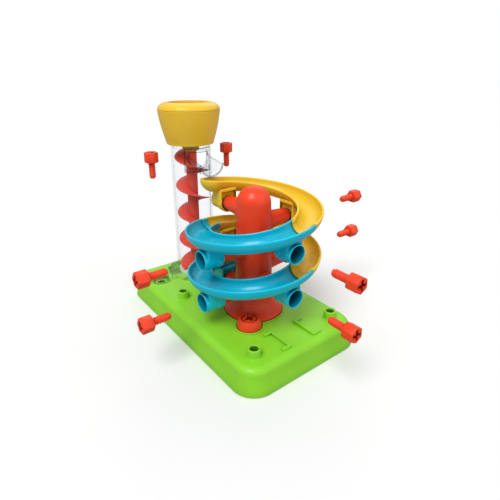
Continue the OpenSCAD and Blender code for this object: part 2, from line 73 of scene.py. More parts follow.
# ---- Sizes that the looks share with the design, in millimetres ----
TRACK_R = 53.7
TROUGH_R = 12.3
TROUGH_WALL = 1.8
SOCKET_R = 9.4
SOCKET_MOUTH = 61.4
SOCKET_BACK = 41.0
RING_R = 10.3
RING_END = 49.0
HOLLOW_R = 8.8
HOLLOW_END = 43.5
HOLLOW_TOP = 12.0
SOCKET_SEAT = 47.0
SOCKET_STOP = 45.0
SHANK_HOLE_R = 3.8
HEAD_HOLE_R = 8.2
LOBE_HOLE_R = 7.7
ARM_POCKET_R = 6.5
CUP_DEPTH = 4.0
LOBE_T = 4.0
BOSS_H = 9.5
PLUG_R = 9.3
SEAT_Z = DECK - 2.0
HUB_R = 9.5
HUB_FOOT = 173.0
HUB_TOP = 188.0
SQUARE_HALF = 3.5
SQUARE_TOP = 184.0


# ---- Mesh helpers ----
def arc(cx, cy, r, start, end, steps):
    """Points on a circle from one angle to another, in degrees, both ends included."""
    angles = [math.radians(start + (end - start) * i / steps) for i in range(steps + 1)]
    return [(cx + r * math.cos(a), cy + r * math.sin(a)) for a in angles]


def new_object(name, verts, faces):
    mesh = bpy.data.meshes.new(name)
    mesh.from_pydata([Vector(v) * MM for v in verts], [], faces)
    bm = bmesh.new()
    bm.from_mesh(mesh)
    bmesh.ops.remove_doubles(bm, verts=bm.verts, dist=1e-7)
    bmesh.ops.recalc_face_normals(bm, faces=bm.faces)
    bm.to_mesh(mesh)
    bm.free()
    obj = bpy.data.objects.new(name, mesh)
    bpy.context.scene.collection.objects.link(obj)
    return obj


def loft(name, rings, loop=False):
    """Skin over rings of equal length, closed with flat ends, or joined end to end."""
    n = len(rings[0])
    verts = [p for ring in rings for p in ring]
    pairs = list(zip(range(len(rings) - 1), range(1, len(rings))))
    if loop:
        pairs.append((len(rings) - 1, 0))
    faces = []
    for a, b in pairs:
        for i in range(n):
            j = (i + 1) % n
            faces.append((a * n + i, a * n + j, b * n + j, b * n + i))
    if not loop:
        faces.append(tuple(reversed(range(n))))
        faces.append(tuple(range((len(rings) - 1) * n, len(rings) * n)))
    return new_object(name, verts, faces)


def lathe(name, profile, place=Matrix.Identity(4), steps=96, closed=False):
    """Turns a profile of (radius, height) about the place's own Z axis."""
    verts, rows = [], []
    for r, h in profile:
        if r < 1e-6:
            rows.append([len(verts)] * steps)
            verts.append(place @ Vector((0, 0, h)))
            continue
        rows.append([len(verts) + i for i in range(steps)])
        for i in range(steps):
            a = 2 * math.pi * i / steps
            verts.append(place @ Vector((r * math.cos(a), r * math.sin(a), h)))
    pairs = list(zip(rows, rows[1:]))
    if closed:
        pairs.append((rows[-1], rows[0]))
    faces = []
    for low, high in pairs:
        for i in range(steps):
            j = (i + 1) % steps
            corners = []
            for v in (low[i], low[j], high[j], high[i]):
                if v not in corners:
                    corners.append(v)
            if len(corners) > 2:
                faces.append(tuple(corners))
    return new_object(name, verts, faces)


def at(x, y=0.0, z=0.0):
    return Matrix.Translation((x, y, z))


def disc(r, low, high, place, edge=0.0, steps=64):
    """Closed round solid between two heights with rounded rims."""
    if edge <= 0:
        profile = [(0, low), (r, low), (r, high), (0, high)]
    else:
        profile = [(0, low)] + arc(r - edge, low + edge, edge, -90, 0, 4)
        profile += arc(r - edge, high - edge, edge, 0, 90, 4) + [(0, high)]
    return lathe("tool", profile, place, steps)


def rounded_box(low, high, edge, place=Matrix.Identity(4)):
    bm = bmesh.new()
    bmesh.ops.create_cube(bm, size=1.0)
    size = Vector(high) - Vector(low)
    centre = (Vector(high) + Vector(low)) / 2
    for v in bm.verts:
        v.co = centre + Vector(v.co[i] * size[i] for i in range(3))
    if edge > 0:
        bmesh.ops.bevel(bm, geom=bm.edges[:], offset=edge, segments=3, affect="EDGES", profile=0.5)
    verts = [place @ v.co for v in bm.verts]
    bm.verts.index_update()
    faces = [tuple(v.index for v in f.verts) for f in bm.faces]
    bm.free()
    return new_object("tool", verts, faces)


def combine(target, tools, operation):
    """Applies one boolean after another to the target and removes the tools."""
    for tool in tools:
        modifier = target.modifiers.new("combine", "BOOLEAN")
        modifier.operation = operation
        modifier.object = tool
        modifier.solver = "MANIFOLD"
    bpy.context.view_layer.update()
    depsgraph = bpy.context.evaluated_depsgraph_get()
    mesh = bpy.data.meshes.new_from_object(target.evaluated_get(depsgraph))
    target.modifiers.clear()
    target.data = mesh
    for tool in tools:
        bpy.data.objects.remove(tool)
    return target


def join(target, tools):
    return combine(target, tools, "UNION")


def cut(target, tools):
    return combine(target, tools, "DIFFERENCE")


def copy_of(obj, name):
    twin = obj.copy()
    twin.data = obj.data.copy()
    twin.name = name
    bpy.context.scene.collection.objects.link(twin)
    return twin


def dress(obj, name, material, body, nodes, crease=32.0):
    """Names a finished piece, shades it, gives it its material and fixes it to its body."""
    obj.name = name
    obj.data.name = name
    obj.data.materials.clear()
    obj.data.materials.append(material)
    for polygon in obj.data.polygons:
        polygon.use_smooth = True
        polygon.material_index = 0
    obj.data.set_sharp_from_angle(angle=math.radians(crease))
    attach(obj, body)
    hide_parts(*nodes)
    return obj


# ---- Materials ----
def srgb(*channels):
    """Screen colour, 0 to 255, as the linear colour that shaders use."""
    linear = []
    for c in channels:
        v = c / 255
        linear.append(v / 12.92 if v <= 0.04045 else ((v + 0.055) / 1.055) ** 2.4)
    return (*linear, 1.0)


def new_material(name):
    material = bpy.data.materials.new(name)
    material.use_nodes = True
    material.node_tree.nodes.clear()
    return material, material.node_tree


def add(tree, kind, **values):
    """Adds a shader node; a value is for the input of that name, or else for the property."""
    node = tree.nodes.new(kind)
    for key, value in values.items():
        inputs = [s for s in node.inputs if s.name.lower() == key.replace("_", " ")]
        if inputs:
            inputs[0].default_value = value
        else:
            setattr(node, key, value)
    return node


def noise(tree, scale, detail=3.0):
    where = add(tree, "ShaderNodeTexCoord")
    texture = add(tree, "ShaderNodeTexNoise", scale=scale, detail=detail)
    tree.links.new(where.outputs["Object"], texture.inputs["Vector"])
    return texture


def ranged(tree, source, low, high):
    """Maps a 0 to 1 value onto a range."""
    node = add(tree, "ShaderNodeMapRange")
    node.inputs["To Min"].default_value = low
    node.inputs["To Max"].default_value = high
    tree.links.new(source, node.inputs["Value"])
    return node.outputs["Result"]


def mixed_colour(tree, factor, first, second):
    """Mixes two colours, each a fixed colour or another node's output, by a factor."""
    node = add(tree, "ShaderNodeMix", data_type="RGBA")
    tree.links.new(factor, node.inputs["Factor"])
    colours_in = [s for s in node.inputs if s.type == "RGBA"]
    for socket, colour in zip(colours_in, (first, second)):
        if isinstance(colour, tuple):
            socket.default_value = colour
        else:
            tree.links.new(colour, socket)
    return [s for s in node.outputs if s.type == "RGBA"][0]


def edge_mask(tree, width, full):
    """A softened normal, and 1 at sharp edges falling to 0 on smooth faces."""
    soft = add(tree, "ShaderNodeBevel", samples=6, radius=width)
    true_normal = add(tree, "ShaderNodeNewGeometry")
    same = add(tree, "ShaderNodeVectorMath", operation="DOT_PRODUCT")
    tree.links.new(soft.outputs["Normal"], same.inputs[0])
    tree.links.new(true_normal.outputs["Normal"], same.inputs[1])
    mask = add(tree, "ShaderNodeMapRange")
    mask.inputs["From Min"].default_value = 1.0
    mask.inputs["From Max"].default_value = full
    tree.links.new(same.outputs["Value"], mask.inputs["Value"])
    return soft.outputs["Normal"], mask.outputs["Result"]


def moulded(name, colour, deep, shine=0.3, edge=0.5 * MM, own_shade=False):
    """Moulded toy plastic: faint flow marks in its colour, painted shade in its hollows from
    the deep colour, a fine grain, and softened edges with a slightly paler painted highlight.
    With own_shade, only the piece itself casts its painted shade, as for a piece inside the clear tube."""
    material, tree = new_material(name)
    links = tree.links
    out = add(tree, "ShaderNodeOutputMaterial")
    shader = add(tree, "ShaderNodeBsdfPrincipled", ior=1.5)
    links.new(shader.outputs["BSDF"], out.inputs["Surface"])

    flow = noise(tree, 45.0, 4.0)
    tone = add(tree, "ShaderNodeHueSaturation", color=colour)
    links.new(ranged(tree, flow.outputs["Fac"], 0.92, 1.08), tone.inputs["Value"])
    # Painted shade: the deep colour replaces the plastic's colour where ambient occlusion finds hollows,
    # creases and undersides.
    hollow = add(tree, "ShaderNodeAmbientOcclusion", samples=6, only_local=own_shade, distance=30 * MM)
    open_sky = add(tree, "ShaderNodeMapRange")
    open_sky.inputs["From Min"].default_value = 0.12
    open_sky.inputs["From Max"].default_value = 0.72
    links.new(hollow.outputs["AO"], open_sky.inputs["Value"])
    shaded = mixed_colour(tree, open_sky.outputs["Result"], deep, tone.outputs["Color"])
    # Painted highlight: sharp edges are mixed a little towards a paler colour.
    soft_normal, edge_highlight_mask = edge_mask(tree, edge, 0.75)
    edge_highlight_colour = tuple(min(1.0, c * 0.9 + 0.12) for c in colour[:3]) + (1.0,)
    edge_highlight_amount = ranged(tree, edge_highlight_mask, 0.0, 0.12)
    links.new(mixed_colour(tree, edge_highlight_amount, shaded, edge_highlight_colour), shader.inputs["Base Color"])

    sheen_marks = noise(tree, 160.0, 2.0)
    links.new(ranged(tree, sheen_marks.outputs["Fac"], shine - 0.06, shine + 0.08),
              shader.inputs["Roughness"])
    grain = noise(tree, 2600.0, 2.0)
    wave = noise(tree, 90.0, 1.0)
    fine = add(tree, "ShaderNodeBump", strength=0.10, distance=0.05 * MM)
    broad = add(tree, "ShaderNodeBump", strength=0.25, distance=0.15 * MM)
    links.new(grain.outputs["Fac"], fine.inputs["Height"])
    links.new(wave.outputs["Fac"], broad.inputs["Height"])
    links.new(soft_normal, broad.inputs["Normal"])
    links.new(broad.outputs["Normal"], fine.inputs["Normal"])
    links.new(fine.outputs["Normal"], shader.inputs["Normal"])
    shader.inputs["Specular IOR Level"].default_value = 0.4
    return material


def clear_plastic(name, tint, edge_tint, corner_tint, corner):
    """Clear moulded plastic: nearly invisible face on, grey where it is seen edge on or
    turns a corner, with reflections and faint scuffs.  Only the near face of each wall shows."""
    material, tree = new_material(name)
    links = tree.links
    out = add(tree, "ShaderNodeOutputMaterial")
    facing = add(tree, "ShaderNodeLayerWeight", blend=0.12)
    steep = add(tree, "ShaderNodeMath", operation="POWER")
    links.new(facing.outputs["Facing"], steep.inputs[0])
    steep.inputs[1].default_value = 2.0
    body_colour = mixed_colour(tree, steep.outputs["Value"], tint, edge_tint)
    _, turned = edge_mask(tree, corner, 0.93)
    through = add(tree, "ShaderNodeBsdfTransparent")
    links.new(mixed_colour(tree, turned, body_colour, corner_tint), through.inputs["Color"])
    gloss = add(tree, "ShaderNodeBsdfGlossy")
    scuffs = noise(tree, 120.0, 5.0)
    links.new(ranged(tree, scuffs.outputs["Fac"], 0.05, 0.16), gloss.inputs["Roughness"])
    ripple = noise(tree, 60.0, 1.0)
    bump = add(tree, "ShaderNodeBump", strength=0.2, distance=0.2 * MM)
    links.new(ripple.outputs["Fac"], bump.inputs["Height"])
    links.new(bump.outputs["Normal"], gloss.inputs["Normal"])
    fresnel = add(tree, "ShaderNodeFresnel", ior=1.45)
    front = add(tree, "ShaderNodeMixShader")
    links.new(ranged(tree, fresnel.outputs["Fac"], 0.0, 0.6), front.inputs["Fac"])
    links.new(through.outputs["BSDF"], front.inputs[1])
    links.new(gloss.outputs["BSDF"], front.inputs[2])
    side = add(tree, "ShaderNodeNewGeometry")
    behind = add(tree, "ShaderNodeBsdfTransparent")
    near_only = add(tree, "ShaderNodeMixShader")
    links.new(side.outputs["Backfacing"], near_only.inputs["Fac"])
    links.new(front.outputs["Shader"], near_only.inputs[1])
    links.new(behind.outputs["BSDF"], near_only.inputs[2])
    links.new(near_only.outputs["Shader"], out.inputs["Surface"])
    return material


def bright_steel(name):
    material, tree = new_material(name)
    out = add(tree, "ShaderNodeOutputMaterial")
    shader = add(tree, "ShaderNodeBsdfPrincipled", metallic=1.0)
    shader.inputs["Base Color"].default_value = srgb(205, 207, 210)
    tree.links.new(shader.outputs["BSDF"], out.inputs["Surface"])
    brushed = noise(tree, 900.0, 6.0)
    tree.links.new(ranged(tree, brushed.outputs["Fac"], 0.18, 0.4), shader.inputs["Roughness"])
    bump = add(tree, "ShaderNodeBump", strength=0.15, distance=0.03 * MM)
    tree.links.new(brushed.outputs["Fac"], bump.inputs["Height"])
    tree.links.new(bump.outputs["Normal"], shader.inputs["Normal"])
    return material


def marble_glass(name, colour):
    """Glass with a smoky swirl of its colour and of lighter glass."""
    material, tree = new_material(name)
    out = add(tree, "ShaderNodeOutputMaterial")
    shader = add(tree, "ShaderNodeBsdfPrincipled", ior=1.5, roughness=0.03)
    shader.inputs["Transmission Weight"].default_value = 0.75
    tree.links.new(shader.outputs["BSDF"], out.inputs["Surface"])
    swirl = noise(tree, 110.0, 2.0)
    swirl.inputs["Distortion"].default_value = 2.5
    ramp = add(tree, "ShaderNodeValToRGB")
    ramp.color_ramp.elements[0].position = 0.42
    ramp.color_ramp.elements[0].color = colour
    ramp.color_ramp.elements[1].position = 0.58
    ramp.color_ramp.elements[1].color = srgb(225, 238, 240)
    tree.links.new(swirl.outputs["Fac"], ramp.inputs["Fac"])
    tree.links.new(ramp.outputs["Color"], shader.inputs["Base Color"])
    return material


# The second colour of each moulded plastic is its painted shade, used in its hollows and undersides.
GREEN = moulded("green_plastic", srgb(146, 224, 48), srgb(30, 104, 8), shine=0.40, own_shade=True)
RED = moulded("red_plastic", srgb(255, 72, 34), srgb(110, 12, 6))
RED_IN_TUBE = moulded("red_plastic_in_tube", srgb(240, 84, 66), srgb(120, 26, 30), own_shade=True)
BLUE = moulded("blue_plastic", srgb(0, 204, 234), srgb(0, 78, 104), shine=0.24)
YELLOW = moulded("yellow_plastic", srgb(255, 212, 50), srgb(108, 76, 4), shine=0.26)
YELLOW_KNOB = moulded("yellow_plastic_knob", srgb(255, 208, 58), srgb(120, 84, 6), own_shade=True)
WHITE = moulded("white_plastic", srgb(232, 232, 226), srgb(150, 150, 144), shine=0.40, own_shade=True)
CLEAR = clear_plastic("clear_plastic", srgb(251, 252, 253), srgb(168, 172, 186), srgb(92, 96, 108),
                      0.7 * MM)
CLEAR_CHUTE = clear_plastic("clear_plastic_chute", srgb(246, 247, 249), srgb(120, 124, 136), srgb(4, 4, 8),
                            1.6 * MM)
STEEL = bright_steel("steel")
GLASS = marble_glass("marble_glass", srgb(20, 52, 120))


# ---- Base ----
POSTS_X = 61.7
POSTS_Y = 48.0
POST_R = 5.2
POST_ROOT_R = 6.0
POST_HIGH = 8.5
BRACKET_NEAR = 80.0
BRACKET_FAR = 108.5
BRACKET_HIGH = 2.5
KERB_HIGH = 1.2
LOBE_OUT = 34.5 * math.sqrt(0.5)
TUBE_LOBE_OUT = 48.3
TOWER_LOBES = [(TOWER_X + LOBE_OUT * s, -LOBE_OUT * s) for s in (1, -1)]
TUBE_LOBES = [(TUBE_X, TUBE_LOBE_OUT * s) for s in (-1, 1)]


def rounded_rect(half_x, half_y, r, z):
    ring = []
    for cx, cy, start in ((1, 1, 0), (-1, 1, 90), (-1, -1, 180), (1, -1, 270)):
        for x, y in arc(cx * (half_x - r), cy * (half_y - r), r, start, start + 90, 12):
            ring.append((x, y, z))
    return ring


def post_bodies(places, top):
    """Hollow posts of the deck, each on a wider root with a soft fillet."""
    post = [(0, 3), (POST_ROOT_R, 3), (POST_ROOT_R, DECK - 0.5), (7.0, DECK - 0.2),
            (6.5, DECK + 0.5), (6.15, DECK + 1.2), (POST_ROOT_R, DECK + 2.2)]
    post += arc(POST_R, top - 0.8, 0.8, 0, 90, 5) + [(0, top)]
    return [lathe("tool", post, at(x, y), 48) for x, y in places]


def post_bores(places, top):
    bore = [(0, top - 18), (3.9, top - 18), (3.9, top - 0.7), (4.7, top + 0.2), (4.7, top + 2),
            (0, top + 2)]
    return [lathe("tool", bore, at(x, y), 48) for x, y in places]


def brackets():
    """Two raised brackets near the tower's end, each a bar with a short leg at both ends."""
    low = DECK - 1
    high = DECK + BRACKET_HIGH
    bars = []
    for side in (-1, 1):
        y = 15 * side
        bars.append(rounded_box((BRACKET_NEAR, y - 1.5, low), (BRACKET_FAR, y + 1.5, high), 0.6))
        leg_low, leg_high = sorted((y, y + 9 * side))
        for x in (BRACKET_NEAR, BRACKET_FAR - 3):
            bars.append(rounded_box((x, leg_low, low), (x + 3, leg_high, high), 0.6))
    return bars


def kerb():
    """Low kerb on the deck that follows the tower's foot and its two lobes."""
    low = DECK - 0.5
    high = DECK + KERB_HIGH
    body = disc(32.0, low, high, at(TOWER_X), 0.4, 96)
    join(body, [disc(14.4, low, high, at(x, y), 0.4) for x, y in TOWER_LOBES])
    cut(body, [disc(30.6, DECK - 2, DECK + 3, at(TOWER_X), 0, 96)]
        + [disc(13.0, DECK - 2, DECK + 3, at(x, y)) for x, y in TOWER_LOBES])
    return body


def base_shell(half_x, half_y, roof):
    """Hollow base with drafted sides, a round deck edge and round corners."""
    corner = 22.5
    draft = 3.5
    edge = 7.0
    wall = 2.4
    foot_edge = 0.8

    def ring(inset, z):
        return rounded_rect(half_x - inset, half_y - inset, corner - inset, z)

    outside = [ring(foot_edge * (1 - math.cos(a)), foot_edge * (1 - math.sin(a)))
               for a in (math.radians(d) for d in (90, 60, 30, 0))]
    outside += [ring(draft * k, foot_edge + (DECK - edge - foot_edge) * k) for k in (0.33, 0.66)]
    for step in range(9):
        a = math.radians(90 * step / 8)
        outside.append(ring(draft + edge * (1 - math.cos(a)), DECK - edge * (1 - math.sin(a))))
    inside = [ring(wall + foot_edge * 0.2, 0.0), ring(wall, foot_edge)]
    inside += [ring(wall + draft, roof - edge + wall), ring(wall + draft + 2.0, roof - 1.2)]
    inside.append(ring(wall + draft + edge - 2.0, roof))
    return loft("base_tray", list(reversed(inside)) + outside)


def base_tray():
    half_x = base_high.x / MM
    half_y = base_high.y / MM
    roof = DECK - 2.6
    body = base_shell(half_x, half_y, roof)
    ribs = [((-half_x + 5, -1, 0.0), (half_x - 5, 1, roof + 0.5))]
    for x in (-POSTS_X, 0, POSTS_X):
        ribs.append(((x - 1, -half_y + 5, 0.0), (x + 1, half_y - 5, roof + 0.5)))
    parts = [rounded_box(low, high, 0) for low, high in ribs]
    parts += [disc(11.0, 3.0, roof + 0.5, at(x, y)) for x, y in TOWER_LOBES + TUBE_LOBES]
    posts = [(TOWER_X + sx * POSTS_X, sy * POSTS_Y) for sx in (-1, 1) for sy in (-1, 1)]
    post_top = DECK + POST_HIGH
    join(body, parts + post_bodies(posts, post_top) + brackets())
    join(body, [kerb()])
    holes = [disc(9.5, DECK - CUP_DEPTH, DECK + 3, at(x, y)) for x, y in TOWER_LOBES + TUBE_LOBES]
    holes += [disc(SHANK_HOLE_R, -1, DECK, at(x, y)) for x, y in TOWER_LOBES + TUBE_LOBES]
    cut(body, holes + post_bores(posts, post_top))
    dress(body, "base_tray_piece", GREEN, "base", ["base_tray"])


# ---- Spiral track ----
TONGUE_ANGLE = 4.3
COLLAR_ANGLE = 3.0


def lip_z(s):
    return LIP_START - TURN_DROP * s / 360


def on_track(s, out, up):
    """A point given by its angle along the track and its place in the trough's section."""
    a = math.radians(s)
    return (TOWER_X + (TRACK_R + out) * math.cos(a), -(TRACK_R + out) * math.sin(a), lip_z(s) + up)


def socket_frame(s):
    """Frame of a socket: its Z axis points out of the socket's mouth."""
    turn = Matrix.Rotation(math.radians(-s), 4, "Z")
    return at(TOWER_X, 0, lip_z(s) - SOCKET_DROP) @ turn @ Matrix.Rotation(math.pi / 2, 4, "Y")


def shell_section(outer, inner, lip, flare):
    """Half-round trough wall with a rounded lip that leans out a little."""
    points = []
    for x, y in arc(0, 0, outer, 0, -180, 24):
        lean = flare * max(0.0, 1 + y / 3.0) ** 2
        points.append((x + math.copysign(lean, x), y))
    mid, half = (outer + flare + inner) / 2, (outer + flare - inner) / 2
    points += [(-mid + half * math.cos(a), lip * math.sin(a))
               for a in (math.radians(180 - 180 * i / 7) for i in range(1, 7))]
    points += arc(0, 0, inner, 180, 360, 24)
    points += [(mid + half * math.cos(a), lip * math.sin(a))
               for a in (math.radians(180 - 180 * i / 7) for i in range(1, 7))]
    return points


def trough(stations):
    rings = []
    for s, outer, inner, lip, flare in stations:
        rings.append([on_track(s, x, y) for x, y in shell_section(outer, inner, lip, flare)])
    return loft("track", rings)


def stretch(a, b, outer, inner, lip=0.8, flare=0.3):
    steps = max(2, math.ceil((b - a) / 3.0))
    return [(a + (b - a) * i / steps, outer, inner, lip, flare) for i in range(steps + 1)]


def closed_end(s, way):
    """Stations of the trough's rounded end beyond angle s."""
    inner_r = TROUGH_R - TROUGH_WALL
    stations = []
    for t in (8, 16, 24, 32, 40, 48, 54, 58, 61, 66, 72, 78, 84, 88):
        d = TROUGH_R * math.sin(math.radians(t))
        inner = math.sqrt(max(inner_r ** 2 - d * d, 0.0004))
        over = max(0.0, d - (TROUGH_R + inner_r) / 2) / (TROUGH_WALL / 2)
        lip = 0.9 * math.sqrt(max(0.02, 1 - over * over))
        outer = math.sqrt(TROUGH_R ** 2 - d * d)
        shift = math.degrees(way * d / TRACK_R)
        stations.append((s + shift, max(outer, inner + 0.05), inner, lip, 0.3 * outer / TROUGH_R))
    return stations if way > 0 else list(reversed(stations))


def inside_trough(a, b, r):
    rings = []
    for s, *_ in stretch(a, b, r, r):
        section = arc(0, 0, r, 0, -180, 24) + [(-r, 4), (r, 4)]
        rings.append([on_track(s, x, y) for x, y in section])
    return loft("tool", rings)


def socket_body(s):
    """Socket: a wide ring round the tower's arm, then a slimmer barrel with a rounded
    mouth, both carried up to the trough's wall."""
    outline = [(0, SOCKET_BACK), (RING_R - 0.8, SOCKET_BACK), (RING_R, SOCKET_BACK + 0.8),
               (RING_R, RING_END - 1.4), (SOCKET_R, RING_END)]
    outline += arc(SOCKET_R - 0.9, SOCKET_MOUTH - 0.9, 0.9, 0, 90, 5) + [(0, SOCKET_MOUTH)]
    body = lathe("tool", outline, socket_frame(s), 64)
    flat = socket_frame(s) @ Matrix.Rotation(-math.pi / 2, 4, "Y")
    top = SOCKET_DROP - 6.5
    webs = [(SOCKET_BACK + 0.4, RING_END, RING_R - 0.05),
            (RING_END - 2, SOCKET_MOUTH - 3.5, SOCKET_R - 0.05)]
    join(body, [rounded_box((near, -half, 0), (far, half, top), 1.4, flat) for near, far, half in webs])
    hollow = rounded_box((SOCKET_BACK - 2, -HOLLOW_R, 0), (HOLLOW_END, HOLLOW_R, HOLLOW_TOP), 0, flat)
    join(hollow, [disc(HOLLOW_R, SOCKET_BACK - 2, HOLLOW_END, socket_frame(s))])
    cut(body, [hollow, inside_trough(s - 17, s + 17, TROUGH_R - TROUGH_WALL / 2)])
    return body


def socket_bore(s):
    lead = 0.5
    profile = [(0, SOCKET_BACK - 2), (ARM_POCKET_R, SOCKET_BACK - 2), (ARM_POCKET_R, SOCKET_STOP),
               (SHANK_HOLE_R, SOCKET_STOP), (SHANK_HOLE_R, SOCKET_SEAT), (HEAD_HOLE_R, SOCKET_SEAT),
               (HEAD_HOLE_R, SOCKET_MOUTH - lead), (HEAD_HOLE_R + lead, SOCKET_MOUTH + 0.1),
               (HEAD_HOLE_R + lead, SOCKET_MOUTH + 3), (0, SOCKET_MOUTH + 3)]
    return lathe("tool", profile, socket_frame(s), 64)


def track_piece(name, a, b, sockets, material, tongue=True, closed=""):
    inner = TROUGH_R - TROUGH_WALL
    tongue_r = inner - 0.4
    tongue_inner = tongue_r - 1.3
    stations = closed_end(a, -1) if closed == "start" else []
    if tongue:
        stations += stretch(a, b - COLLAR_ANGLE, TROUGH_R, inner)
        stations += stretch(b - COLLAR_ANGLE + 0.4, b - 0.6, TROUGH_R, tongue_inner)
        stations += stretch(b - 0.55, b + TONGUE_ANGLE - 0.4, tongue_r, tongue_inner, 0.65, 0.0)
        stations.append((b + TONGUE_ANGLE, tongue_r - 0.3, tongue_inner + 0.3, 0.4, 0.0))
    else:
        stations += stretch(a, b, TROUGH_R, inner)
    if closed == "end":
        stations += closed_end(b, 1)
    piece = trough(stations)
    join(piece, [socket_body(s) for s in sockets])
    cut(piece, [socket_bore(s) for s in sockets])
    if closed == "end":
        cut(piece, [disc(8.6, -TROUGH_R - 2, -2, at(*on_track(b, 0, 0)))])
    dress(piece, name + "_piece", material, "base", [name])


def spiral_track():
    starts = (-193, -16.5, 162.5, 343.5, 562)
    track_piece("upper_yellow_track", starts[0], starts[1], [-180, -90], YELLOW,
                closed="start")
    track_piece("upper_blue_track", starts[1], starts[2], [0, 90], BLUE)
    track_piece("lower_yellow_track", starts[2], starts[3], [180, 270], YELLOW)
    track_piece("lower_blue_track", starts[3], starts[4], [360, 450, 540], BLUE,
                tongue=False, closed="end")


# ---- Tower ----
FOOT_R = 30.0
SKIRT_R = 19.5
WAIST_R = 18.5
DOME_R = 16.5
SKIRT_TOP = 20.0
WAIST_Z = 35.0
TOWER_WALL = 2.2
CASE_SCREWS = (30, 68, 108)
CASE_SCREW_TURN = math.radians(135)
SEAM = 0.12


def tower_profile(t):
    """Outline of the tower over the deck, drawn in by t: foot, bell skirt, column, dome."""
    height = TOWER_TOP - DECK
    points = [(0, -1 if t else 0)]
    if t:
        points.append((SKIRT_R + 3, -1))
    else:
        points += [(FOOT_R, 0)] + arc(FOOT_R - 0.9, LOBE_T - 1.6, 0.9, 0, 60, 4)
    for i in range(17):
        k = i / 16
        r = SKIRT_R + (FOOT_R - 1.5 - SKIRT_R) * (1 - k) ** 2.2 - t
        points.append((r, LOBE_T + (SKIRT_TOP - LOBE_T) * k - t))
    points.append((WAIST_R - t, WAIST_Z))
    points += arc(0, height - DOME_R, DOME_R - t, 0, 90, 18)[:-1]
    points.append((0, height - t))
    return points


def tower_arm(s):
    """Arm that carries a socket, with a soft fillet where it leaves the column."""
    profile = [(0, 12), (10.0, 12), (9.9, 17.0), (9.5, 19.0), (9.1, 21.5), (7.7, 38.0)]
    profile += [(7.4, 41.6), (6.5, 42.6), (6.0, 44.0), (5.7, 44.8), (0, 44.8)]
    return lathe("tool", profile, socket_frame(s), 48)


def foot_lobe(r, place):
    """Flat lobe of the tube's foot with a low collar round its screw."""
    pad = [(0, -CUP_DEPTH), (PLUG_R, -CUP_DEPTH), (PLUG_R, 0), (r, 0)]
    pad += arc(r - 0.9, LOBE_T - 0.9, 0.9, 0, 90, 4)
    pad += [(8.9, LOBE_T), (8.6, LOBE_T + 0.5), (8.2, LOBE_T + 0.6), (0, LOBE_T + 0.6)]
    return lathe("tool", pad, place @ at(0, 0, DECK), 64)


def foot_boss(place):
    """Tall tapering boss of the tower's foot, round the sunk head of its screw."""
    root_r = 12.4
    boss = [(0, -CUP_DEPTH), (PLUG_R, -CUP_DEPTH), (PLUG_R, 0), (root_r, 0), (root_r, 1.0),
            (root_r - 0.4, 3.4), (root_r - 1.3, 6.6)]
    boss += arc(9.2, BOSS_H - 1.2, 1.2, 20, 90, 5) + [(0, BOSS_H)]
    return lathe("tool", boss, place @ at(0, 0, DECK), 64)


def lobe_bore(place, top):
    """Bore of a lobe's screw: shank hole, seat, and a wider hole for the head."""
    seat = SEAT_Z - DECK
    mouth_r = LOBE_HOLE_R + 0.3
    profile = [(0, -8), (SHANK_HOLE_R, -8), (SHANK_HOLE_R, seat), (LOBE_HOLE_R, seat),
               (LOBE_HOLE_R, top - 0.3), (mouth_r, top), (mouth_r, top + 5), (0, top + 5)]
    return lathe("tool", profile, place @ at(0, 0, DECK), 64)


def case_screw_place(z, way):
    """Frame of a case screw's hole: its Z axis points out of one side of the seam."""
    turned = at(TOWER_X) @ Matrix.Rotation(CASE_SCREW_TURN, 4, "Z")
    return turned @ at(0, 0, DECK + z) @ Matrix.Rotation(way * math.pi / 2, 4, "Y")


def case_boss(z, way):
    k = (z - WAIST_Z) / (TOWER_TOP - DECK - DOME_R - WAIST_Z)
    wall = WAIST_R + (DOME_R - WAIST_R) * k - TOWER_WALL / 2
    return disc(4.2, SEAM, wall, case_screw_place(z, way), 0, 40)


def case_bore(z, way):
    """Sunk through hole in the rear half, blind pilot hole in the front half."""
    if way > 0:
        profile = [(0, -1), (1.35, -1), (1.35, 6), (2.7, 6), (2.7, 30), (0, 30)]
    else:
        profile = [(0, -1), (1.3, -1), (1.3, 9), (0, 9)]
    return lathe("tool", profile, case_screw_place(z, way), 32)


def whole_tower():
    body = lathe("tower", tower_profile(0), at(TOWER_X, 0, DECK), 128)
    sockets = range(-180, 541, 90)
    join(body, [tower_arm(s) for s in sockets])
    join(body, [foot_boss(at(x, y)) for x, y in TOWER_LOBES])
    cut(body, [lathe("tool", tower_profile(TOWER_WALL), at(TOWER_X, 0, DECK), 96)])
    cut(body, [disc(SHANK_HOLE_R, 28, 46, socket_frame(s), 0, 48) for s in sockets])
    cut(body, [lobe_bore(at(x, y), BOSS_H) for x, y in TOWER_LOBES])
    return body


def tower():
    """Two shells that meet on an upright seam, each cut from the same whole tower."""
    body = whole_tower()
    turned = at(TOWER_X) @ Matrix.Rotation(CASE_SCREW_TURN, 4, "Z")
    beyond = 70.0
    for name, way in (("tower_front_shell", -1), ("tower_rear_shell", 1)):
        half = copy_of(body, name + "_piece")
        near, far = sorted((SEAM * way, beyond * way))
        keep = rounded_box((near, -beyond, DECK - 6), (far, beyond, TOWER_TOP + 5), 0, turned)
        combine(half, [keep], "INTERSECT")
        join(half, [case_boss(z, way) for z in CASE_SCREWS])
        cut(half, [case_bore(z, way) for z in CASE_SCREWS])
        dress(half, name + "_piece", RED, "base", [name])
    bpy.data.objects.remove(body)


